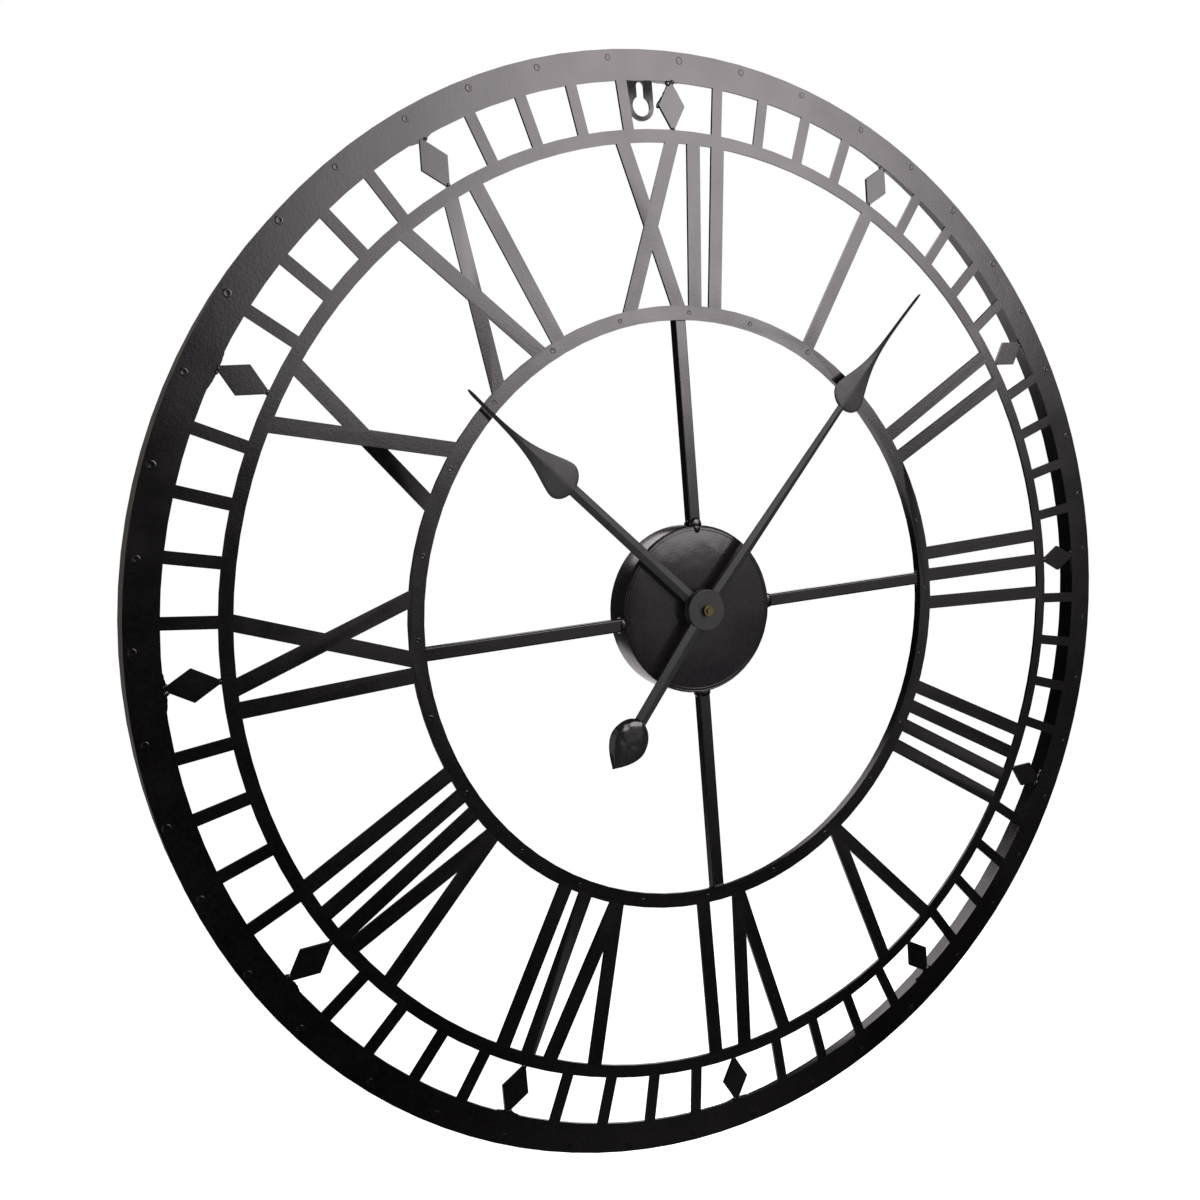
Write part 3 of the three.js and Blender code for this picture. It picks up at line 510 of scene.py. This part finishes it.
def lump(shape, centre, along, across, size, rough=0.18, detail=3):
    """A weld lump: a ball squashed to `size` along three directions, with an uneven skin."""
    third = along.cross(across).normalized()
    made = bmesh.ops.create_icosphere(shape, subdivisions=detail, radius=1)["verts"]
    shift = Vector((rng.uniform(0, 50), rng.uniform(0, 50), rng.uniform(0, 50)))
    for vert in made:
        coarse = noise.noise(vert.co * COARSE_SKIN + shift)
        fine = noise.noise(vert.co * FINE_SKIN + shift)
        local = vert.co * (1 + rough * coarse + FINE_SHARE * rough * fine)
        offset = along * local.x * size[0] + across * local.y * size[1] + third * local.z * size[2]
        vert.co = centre + offset * MM


SPOT_RINGS = (
    {"radius": 296, "count": 45, "depth": 0, "size": 2.1},
    {"radius": 163.6, "count": 24, "depth": DISH, "size": 1.6},
)
SPOT_START = 2

# Rings of a dimple, as (share of its size, depth in millimetres); a minus stands proud of the sheet.
DIMPLE = (
    (1.0, 0.06), (0.92, -0.02), (0.82, -0.09), (0.7, -0.13),
    (0.56, -0.1), (0.36, -0.05), (0.16, -0.03),
)
DIMPLE_SIDES = 20


def dimple(shape, centre, size):
    """A round dimple whose low lip rises out of the sheet."""
    profile = [(reach * size, height) for reach, height in DIMPLE]
    turned(shape, profile, centre, DEPTHWAYS, ALONG_X, DIMPLE_SIDES)


def spot_welds():
    """The shallow dimples that a spot welder leaves along the chapter ring and the inner ring."""
    shape = bmesh.new()
    for ring in SPOT_RINGS:
        for index in range(ring["count"]):
            degrees = index * 360 / ring["count"] + SPOT_START + stray(0.8)
            place = clock_point(ring["radius"] + stray(0.6), degrees, ring["depth"])
            dimple(shape, place, ring["size"] * rng.uniform(0.8, 1.1))
    piece("spot_welds", shape, "frame", PAINT, WELD_SHARP)


def node_middle(name):
    low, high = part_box(name)
    return (low + high) / 2 - DIAL_CENTRE


def marker_degrees(hour):
    """Where a marker really stands, clockwise from 12 o'clock."""
    middle = node_middle(f"hour_marker_{hour or HOURS}")
    return math.degrees(math.atan2(middle.x, middle.z))


SPATTER_COUNT = 3
SPATTER_SINK = 0.6
WEDGE = {"count": 4, "radius": 272, "step": 3, "left": -7.6, "step_right": 2, "depth": 1.2}


def twelve_wedge(shape, degrees, out, side):
    """A slanting run of weld beside the marker at 12."""
    slant = (out * 12 + side * 8).normalized()
    flank = DEPTHWAYS.cross(slant)
    for step in range(WEDGE["count"]):
        radius = WEDGE["radius"] + WEDGE["step"] * step
        shift = WEDGE["left"] + WEDGE["step_right"] * step
        centre = clock_point(radius, degrees, WEDGE["depth"]) + side * shift * MM
        lump(shape, centre, slant, flank, (2.4, rng.uniform(0.8, 1.2), 0.5), 0.3, 2)


def marker_welds():
    """Weld spatter at both tips of the hour markers, and a run of weld beside the one at 12."""
    shape = bmesh.new()
    for hour in range(HOURS):
        degrees = marker_degrees(hour)
        out, side = outward(degrees), clockwise(degrees)
        for _ in range(SPATTER_COUNT):
            reach = CHAPTER_IN - SPATTER_SINK + stray(0.6)
            centre = clock_point(reach, degrees, rng.uniform(0.2, 1.0)) + side * stray(2.2) * MM
            size = (rng.uniform(0.9, 1.6), rng.uniform(1.0, 1.9), 0.8)
            lump(shape, centre, out, side, size, 0.4, 2)
        centre = clock_point(MIDDLE_OUT + 0.5, degrees, 0.6)
        lump(shape, centre, out, side, (1.2, 1.5, 0.85), 0.35, 2)
        if hour == 0:
            twelve_wedge(shape, degrees, out, side)
    piece("marker_welds", shape, "frame", PAINT, WELD_SHARP)


BURR_STEPS = 14
BURR_FRONT = 0.35
BURR_BACK = 1.3
BURR_ROOT = CHAPTER_IN + 1


def marker_burrs():
    """A torn edge of sheet that shows past the chapter ring beside each outer tip."""
    shape = bmesh.new()
    for hour in range(HOURS):
        reach = rng.uniform(5, 9.5)
        lean = stray(3)
        rows = []
        for step in range(BURR_STEPS + 1):
            across = -reach + 2 * reach * step / BURR_STEPS + lean
            share = 1 - abs(2 * step / BURR_STEPS - 1) ** 2.5
            torn = 0.9 + 0.7 * noise.noise(Vector((hour * 7.3, step * 0.9, 2)))
            degrees = marker_degrees(hour) + math.degrees(across / CHAPTER_IN)
            low = CHAPTER_IN - (0.25 + share * torn)
            corners = ((low, BURR_FRONT), (BURR_ROOT, BURR_FRONT), (BURR_ROOT, BURR_BACK), (low, BURR_BACK))
            rows.append([shape.verts.new(clock_point(radius, degrees, depth)) for radius, depth in corners])
        skin(shape, rows)
    piece("marker_burrs", shape, "frame", PAINT)


SPOKES = ("spoke_top", "spoke_right", "spoke_bottom", "spoke_left")
FLANK_WELD = (2.4, 3.0, 1.0)
FACE_WELD = (2.3, 3.5, 0.8)


def spoke_end_welds(shape, radius, toward, degrees, drift):
    """Four lumps round one end of a spoke, `toward` the spoke's middle by a little."""
    out, side = outward(degrees), clockwise(degrees)
    middle = SPOKE_FRONT + SPOKE_DEPTH / 2
    for turn in (-1, 1):
        centre = clock_point(radius + 0.3 * toward, degrees, middle) + drift
        lump(shape, centre + side * turn * SPOKE_WIDTH / 2 * MM, out, DEPTHWAYS, FLANK_WELD)
    for depth in (SPOKE_FRONT + 0.2, SPOKE_FRONT + SPOKE_DEPTH - 0.2):
        centre = clock_point(radius + 0.4 * toward, degrees, depth) + drift
        lump(shape, centre, out, side, FACE_WELD)


def top_spoke_weld(shape, drift):
    """The larger lump that runs from the top spoke onto the hub's face."""
    out, side = outward(0), clockwise(0)
    corner = clock_point(HUB_RADIUS + 0.6, 0, HUB_FRONT + 0.5) + drift
    lump(shape, corner, out, side, (3.4, 3.4, 0.9), 0.25)
    face = clock_point(HUB_RADIUS - 2, 0, HUB_FRONT + 0.1) + drift
    lump(shape, face, out, side, (2.4, 2.0, 0.6), 0.25)


def spoke_welds():
    """Welds where the spokes meet the hub and the inner band."""
    shape = bmesh.new()
    for quarter, name in enumerate(SPOKES):
        degrees = quarter * 90
        side = clockwise(degrees)
        drift = side * node_middle(name).dot(side)
        for radius, toward in ((HUB_RADIUS, 1), (BAND_IN, -1)):
            spoke_end_welds(shape, radius, toward, degrees, drift)
        if quarter == 0:
            top_spoke_weld(shape, drift)
    piece("spoke_welds", shape, "frame", PAINT, WELD_SHARP)


BEAD_SIDES = 8
BEAD_WAVES = 180


def bead(shape, radius, depth, thick, uneven, start=0, sweep=360, steps=180):
    """A bead of round section that runs round the clock's axis, all the way or for a short sweep."""
    closed = sweep >= 360
    rows = []
    for step in range(steps if closed else steps + 1):
        degrees = start + sweep * step / steps
        out = outward(degrees)
        centre = clock_point(radius, degrees, depth)
        size = thick * (1 + uneven * noise.noise(centre * BEAD_WAVES))
        row = []
        for side in range(BEAD_SIDES):
            turn = 2 * math.pi * side / BEAD_SIDES
            ray = out * math.cos(turn) + DEPTHWAYS * math.sin(turn)
            row.append(shape.verts.new(centre + ray * size * MM))
        rows.append(row)
    skin(shape, rows, closed)


def hub_seam():
    """The rolled lip round the hub's face."""
    shape = bmesh.new()
    bead(shape, HUB_RADIUS - 1.1, HUB_FRONT + 0.2, 0.42, 0.3)
    bead(shape, HUB_RADIUS - 2.6, HUB_FRONT + 0.1, 0.3, 0.3)
    piece("hub_seam", shape, "frame", HUB_PAINT)


RIM_TACKS = 30
BAND_TACKS = 16
BAND_TACK_START = 5
TACK_UNEVEN = 0.8


def band_tacks():
    """Short tacks in the corners behind the sheet, which hold the rolled bands to it."""
    shape = bmesh.new()
    for index in range(RIM_TACKS):
        degrees = index * 360 / RIM_TACKS + stray(1)
        sweep = rng.uniform(1.6, 2.4)
        bead(shape, RIM_IN - 0.3, SHEET + 0.35, 0.9, TACK_UNEVEN, degrees, sweep, 14)
    for index in range(BAND_TACKS):
        degrees = index * 360 / BAND_TACKS + BAND_TACK_START + stray(1)
        sweep = rng.uniform(2.6, 3.6)
        bead(shape, BAND_OUT + 0.25, DISH + SHEET + 0.3, 0.75, TACK_UNEVEN, degrees, sweep, 12)
    piece("band_tacks", shape, "frame", PAINT)


spot_welds()
marker_welds()
marker_burrs()
spoke_welds()
hub_seam()
band_tacks()

# ---------- hands ----------

# Each hand's angle, its back and its bore, its arm's two half-widths, its spade and the lean of its tip.
HOUR = {
    "degrees": 314.7, "back": 2.6, "bore": 2.55,
    "arm": (3.8, 3.3), "notch": 102.6, "peak": 111, "tip": 179, "lean": 1.32,
}
MINUTE = {
    "degrees": 43.6, "back": -0.6, "bore": 1.55,
    "arm": (3.7, 2.2), "notch": 146.8, "peak": 155.8, "tip": 238, "lean": 2.2,
}
TAIL = {"arm": 3.8, "bend": -3.7, "notch": 71.3, "peak": 85, "tip": 101.3, "half": 11.8, "dome": 2}
TAIL_ANGLE = MINUTE["degrees"] + 180 + TAIL["bend"]
ARM_START = 4
HAND_EDGE_THICK = 0.7
HAND_RIDGE = 0.85
FRONT_ROUND = 0.35
BACK_ROUND = 0.12
SPADE_HALF = 10.8
SPADE_FLANK = 20
TIP_HALF = 0.9
LEAF_TIP = 0.3
LEAN_START = 0.75
BOSS_RADIUS = 11.7
BOSS_THICK = 1.6
FIRST_STEP = 0.05


def hand_section(half, ridge, dome):
    """Half of a blade's front, as (offset across, height), from the ridge to the back edge."""
    soft = min(FRONT_ROUND, half * 0.3)
    steps = 6
    points = []
    for step in range(steps + 1):
        share = step / steps
        flat = 1 - share
        crown = flat if dome == 0 else (1 - dome) * flat + dome * math.sqrt(max(0, 1 - share ** 3))
        points.append((share * (half - soft), HAND_EDGE_THICK + ridge * crown))
    top = points[-1][1]
    points.append((half - soft * 0.3, top - soft * 0.3))
    points.append((half, top - soft))
    points.append((half, BACK_ROUND))
    points.append((half - min(BACK_ROUND, half * 0.1), 0.0))
    return points


def add_blade(shape, stations, back, turn_degrees, lean=0):
    """Lofts a blade through (reach, half-width, ridge, dome) stations; its tip leans clockwise."""
    out, side = outward(turn_degrees), clockwise(turn_degrees)
    tip = stations[-1][0]
    rows = []
    for reach, half, ridge, dome in stations:
        near = hand_section(half, ridge, dome)
        sway = lean * max(0, (reach / tip - LEAN_START) / (1 - LEAN_START)) ** 2
        row = []
        for x, height in [(-x, y) for x, y in reversed(near[1:])] + near:
            offset = out * reach + side * (x + sway) + DEPTHWAYS * (back - height)
            row.append(shape.verts.new(DIAL_CENTRE + offset * MM))
        rows.append(row)
    skin(shape, rows)


def spade_stations(hand):
    """An arm that widens in a round base and then narrows in a long curve to a needle."""
    arm_end = hand["arm"][1]
    notch, peak, tip = hand["notch"], hand["peak"], hand["tip"]
    stations = [(ARM_START, hand["arm"][0], HAND_RIDGE, 0), (notch, arm_end, HAND_RIDGE, 0)]
    base_steps = 16
    for step in range(1, base_steps + 1):
        turn = step / base_steps * math.pi / 2
        half = max(arm_end, SPADE_HALF * math.sin(turn))
        reach = peak - (peak - notch) * math.cos(turn) + FIRST_STEP
        stations.append((reach, half, HAND_RIDGE, 0))
    flank_steps = 30
    for step in range(1, flank_steps + 1):
        along = (tip - peak) * (step / flank_steps) ** 1.3
        half = TIP_HALF + (SPADE_HALF - TIP_HALF) * math.exp(-((along / SPADE_FLANK) ** 1.5))
        if step == flank_steps:
            half *= 0.5
        stations.append((peak + along, half, HAND_RIDGE, 0))
    return stations


def leaf_stations():
    """A domed leaf, from the end of its arm to its point."""
    arm, notch, peak, tip = TAIL["arm"], TAIL["notch"], TAIL["peak"], TAIL["tip"]
    stations = [(notch, arm, HAND_RIDGE, 0)]
    base_steps = 14
    for step in range(1, base_steps + 1):
        turn = step / base_steps * math.pi / 2
        share = math.sin(turn)
        half = max(arm, TAIL["half"] * share)
        reach = peak - (peak - notch) * math.cos(turn) + FIRST_STEP
        stations.append((reach, half, HAND_RIDGE + TAIL["dome"] * math.sqrt(share), min(1, share * 1.2)))
    tip_steps = 18
    for step in range(1, tip_steps + 1):
        share = 1 - (step / tip_steps) ** 1.8
        half = max(LEAF_TIP, TAIL["half"] * share)
        reach = peak + (tip - peak) * step / tip_steps
        ridge = LEAF_TIP + (HAND_RIDGE + TAIL["dome"] - LEAF_TIP) * math.sqrt(share)
        stations.append((reach, half, ridge, 1))
    return stations


def boss(shape, hand):
    """The round boss of a hand, with a softened front edge and a hole for its shaft."""
    bore, back = hand["bore"], hand["back"]
    front = back - BOSS_THICK
    profile = [
        (bore, back), (BOSS_RADIUS - 0.15, back), (BOSS_RADIUS, back - 0.15), (BOSS_RADIUS, front + 0.45),
        (BOSS_RADIUS - 0.12, front + 0.18), (BOSS_RADIUS - 0.45, front), (BOSS_RADIUS - 0.6, front),
        (bore, front),
    ]
    turned(shape, profile, DIAL_CENTRE, DEPTHWAYS, ALONG_X, 72, loop=True)


def hour_hand():
    shape = bmesh.new()
    add_blade(shape, spade_stations(HOUR), HOUR["back"], HOUR["degrees"], HOUR["lean"])
    boss(shape, HOUR)
    made = piece("hour_hand_blade", shape, "hour_body", HAND)
    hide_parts("hour_hand")


def minute_hand():
    shape = bmesh.new()
    add_blade(shape, spade_stations(MINUTE), MINUTE["back"], MINUTE["degrees"], MINUTE["lean"])
    arm = [(ARM_START, TAIL["arm"], HAND_RIDGE, 0), (TAIL["notch"] + 0.5, TAIL["arm"], HAND_RIDGE, 0)]
    add_blade(shape, arm, MINUTE["back"], TAIL_ANGLE)
    boss(shape, MINUTE)
    made = piece("minute_hand_blade", shape, "minute_body", HAND)
    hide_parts("minute_hand")


def minute_leaf():
    """The minute hand's counterweight, a hammered leaf with wet-looking paint."""
    shape = bmesh.new()
    add_blade(shape, leaf_stations(), MINUTE["back"], TAIL_ANGLE)
    piece("minute_hand_leaf", shape, "minute_body", LEAF)


hour_hand()
minute_hand()
minute_leaf()

# ---------- movement seen from the back ----------

CELL = {"radius": 7, "half": 24.5, "nub": 1, "nub_radius": 2.75}
CELL_CENTRE = (-0.4, 15.85, -19.6)
SLEEVE_BANDS = ((9, 23.2), (6.6, 7.5))
CASE_HALF = 28
LID_BACK = 21.7


def cell_turned(shape, profile, sides=64):
    """Turns a profile about the cell's own axis, with its positive end at plus X."""
    turned(shape, profile, dial_point(*CELL_CENTRE), ALONG_X, DEPTHWAYS, sides)


def battery_sleeve():
    """The cell's printed sleeve, folded over both ends."""
    radius, half = CELL["radius"], CELL["half"]
    profile = [
        (5.6, -half + 0.25), (5.6, -half + 0.02), (6.3, -half), (6.75, -half + 0.15),
        (radius, -half + 0.55), (radius, 8.5), (radius, half - 0.9),
        (6.8, half - 0.35), (6.4, half - 0.1), (5.2, half - 0.08), (5.2, half - 0.3),
    ]
    shape = bmesh.new()
    cell_turned(shape, profile)
    made = piece("battery_sleeve", shape, "frame", SLEEVE)
    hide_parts("battery")


def battery_ends():
    """The bare steel ends of the cell, with the positive nub."""
    half, nub = CELL["half"], CELL["nub_radius"]
    nub_end = half + CELL["nub"]
    shape = bmesh.new()
    positive = [
        (5.15, half - 0.32), (5.15, half - 0.16), (4.2, half - 0.1), (3.4, half - 0.1),
        (nub + 0.1, half + 0.1), (nub, half + 0.7), (nub - 0.3, nub_end), (0.6, nub_end),
    ]
    negative = [(0.6, -half + 0.04), (5.2, -half + 0.04), (5.5, -half + 0.12), (5.5, -half + 0.27)]
    for profile in (positive, negative):
        cell_turned(shape, profile, 48)
    piece("battery_ends", shape, "frame", STEEL)


def battery_band():
    """A dark printed band round the positive end, and a thin line beside it."""
    shape = bmesh.new()
    inner, outer = CELL["radius"] - 0.02, CELL["radius"] + 0.03
    for low, high in SLEEVE_BANDS:
        cell_turned(shape, [(inner, low), (outer, low + 0.03), (outer, high - 0.03), (inner, high)])
    piece("battery_band", shape, "frame", SLEEVE_BAND)


WIRE_TURNS = 34
WIRE_PROUD = 0.12
COIL_MARGIN = 0.4
COIL_SINK = 0.08


def coil_wire():
    """The outermost turns of enamelled wire on the coil."""
    low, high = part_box("coil")
    half = (high.x - low.x) / 2 / MM - COIL_MARGIN
    radius = (high.z - low.z) / 2 / MM - COIL_SINK
    pitch = 2 * half / WIRE_TURNS
    profile = [(radius - WIRE_PROUD, -half)]
    for index in range(WIRE_TURNS):
        start = -half + index * pitch
        for share, rise in ((0.12, 0), (0.5, WIRE_PROUD), (0.88, 0)):
            profile.append((radius + rise, start + share * pitch))
    profile.append((radius - WIRE_PROUD, half))
    shape = bmesh.new()
    turned(shape, profile, (low + high) / 2, ALONG_X, DEPTHWAYS, 32, loop=True)
    piece("coil_wire", shape, "frame", COPPER)


def slab(shape, low, high, edge=0.12):
    """A block between two corners given in dial millimetres, with softened edges."""
    made = bmesh.ops.create_cube(shape, size=1)["verts"]
    for vert in made:
        local = [a + (b - a) * (c + 0.5) for a, b, c in zip(low, high, vert.co)]
        vert.co = dial_point(*local)
    edges = list({line for vert in made for line in vert.link_edges})
    bmesh.ops.bevel(shape, geom=edges, offset=edge * MM, segments=2, affect="EDGES", profile=0.5)


# A clip's leg and its hook, each as (nearest, farthest) from the case's middle and (front, back).
CLIP_OUT = CASE_HALF + 0.75
CLIP_LEG = (CASE_HALF + 0.02, CLIP_OUT, 15, LID_BACK + 0.75)
CLIP_HOOK = (CASE_HALF - 1.1, CLIP_OUT, LID_BACK + 0.02, LID_BACK + 0.8)
CLIP_HALF = 3.5
SIDE_CLIP_MIDDLE = 7.5
TOP_CLIP_MIDDLE = 15


def lid_clips():
    """Snap hooks that hold the lid to the case, one on each side and two along the top."""
    shape = bmesh.new()
    for turn in (-1, 1):
        middle = turn * TOP_CLIP_MIDDLE
        for near, far, front, back in (CLIP_LEG, CLIP_HOOK):
            left, right = sorted((turn * near, turn * far))
            low, high = SIDE_CLIP_MIDDLE - CLIP_HALF, SIDE_CLIP_MIDDLE + CLIP_HALF
            slab(shape, (left, front, low), (right, back, high))
            slab(shape, (middle - CLIP_HALF, front, near), (middle + CLIP_HALF, back, far))
    piece("lid_clips", shape, "frame", CASE)


MARK_SINK = 0.05
MARK_RISE = 0.15
SIGN_RISE = 0.2
ARC = {"radius": 7.6, "start": 60, "sweep": 240, "steps": 30, "head": 3}


def knob_ring(shape, centre):
    """A raised ring with softened edges."""
    profile = [(5.4, -MARK_SINK), (5.4, 0.16), (5.55, 0.25), (5.95, 0.25), (6.1, 0.16), (6.1, -MARK_SINK)]
    turned(shape, profile, centre, DEPTHWAYS, ALONG_X, 72, loop=True)


def arc_half(steps_from_end):
    """Half the arc's width, which comes to a point at each end and flares behind it."""
    if steps_from_end == 0:
        return 0.06
    if steps_from_end < ARC["head"]:
        return 0.35 + 0.35 * steps_from_end
    return 0.3


def knob_arc(shape, centre):
    """A raised arc with an arrow head at each end."""
    rows = []
    for step in range(ARC["steps"] + 1):
        out = outward(ARC["start"] + ARC["sweep"] * step / ARC["steps"])
        half = arc_half(min(step, ARC["steps"] - step))
        corners = ((-half, -MARK_SINK), (-half, MARK_RISE), (half, MARK_RISE), (half, -MARK_SINK))
        row = []
        for reach, height in corners:
            spot = centre + out * (ARC["radius"] + reach) * MM + DEPTHWAYS * height * MM
            row.append(shape.verts.new(spot))
        rows.append(row)
    skin(shape, rows)


SIGN_X = 22
SIGN_Z = -8
SIGN_LONG = 1.7
SIGN_HALF = 0.3


def sign_bar(shape, x, half_x, half_z):
    low = (x - half_x, LID_BACK - MARK_SINK, SIGN_Z - half_z)
    high = (x + half_x, LID_BACK + SIGN_RISE, SIGN_Z + half_z)
    slab(shape, low, high, 0.05)


def lid_marks():
    """Moulded marks on the lid: a ring and a two-headed arc round the knob, polarity signs by the cell."""
    shape = bmesh.new()
    knob = node_middle("setting_knob") / MM
    centre = dial_point(knob.x, LID_BACK, knob.z)
    knob_ring(shape, centre)
    knob_arc(shape, centre)
    for x in (-SIGN_X, SIGN_X):
        sign_bar(shape, x, SIGN_LONG, SIGN_HALF)
    sign_bar(shape, SIGN_X, SIGN_HALF, SIGN_LONG)
    piece("lid_marks", shape, "frame", CASE)


battery_sleeve()
battery_ends()
battery_band()
coil_wire()
lid_clips()
lid_marks()
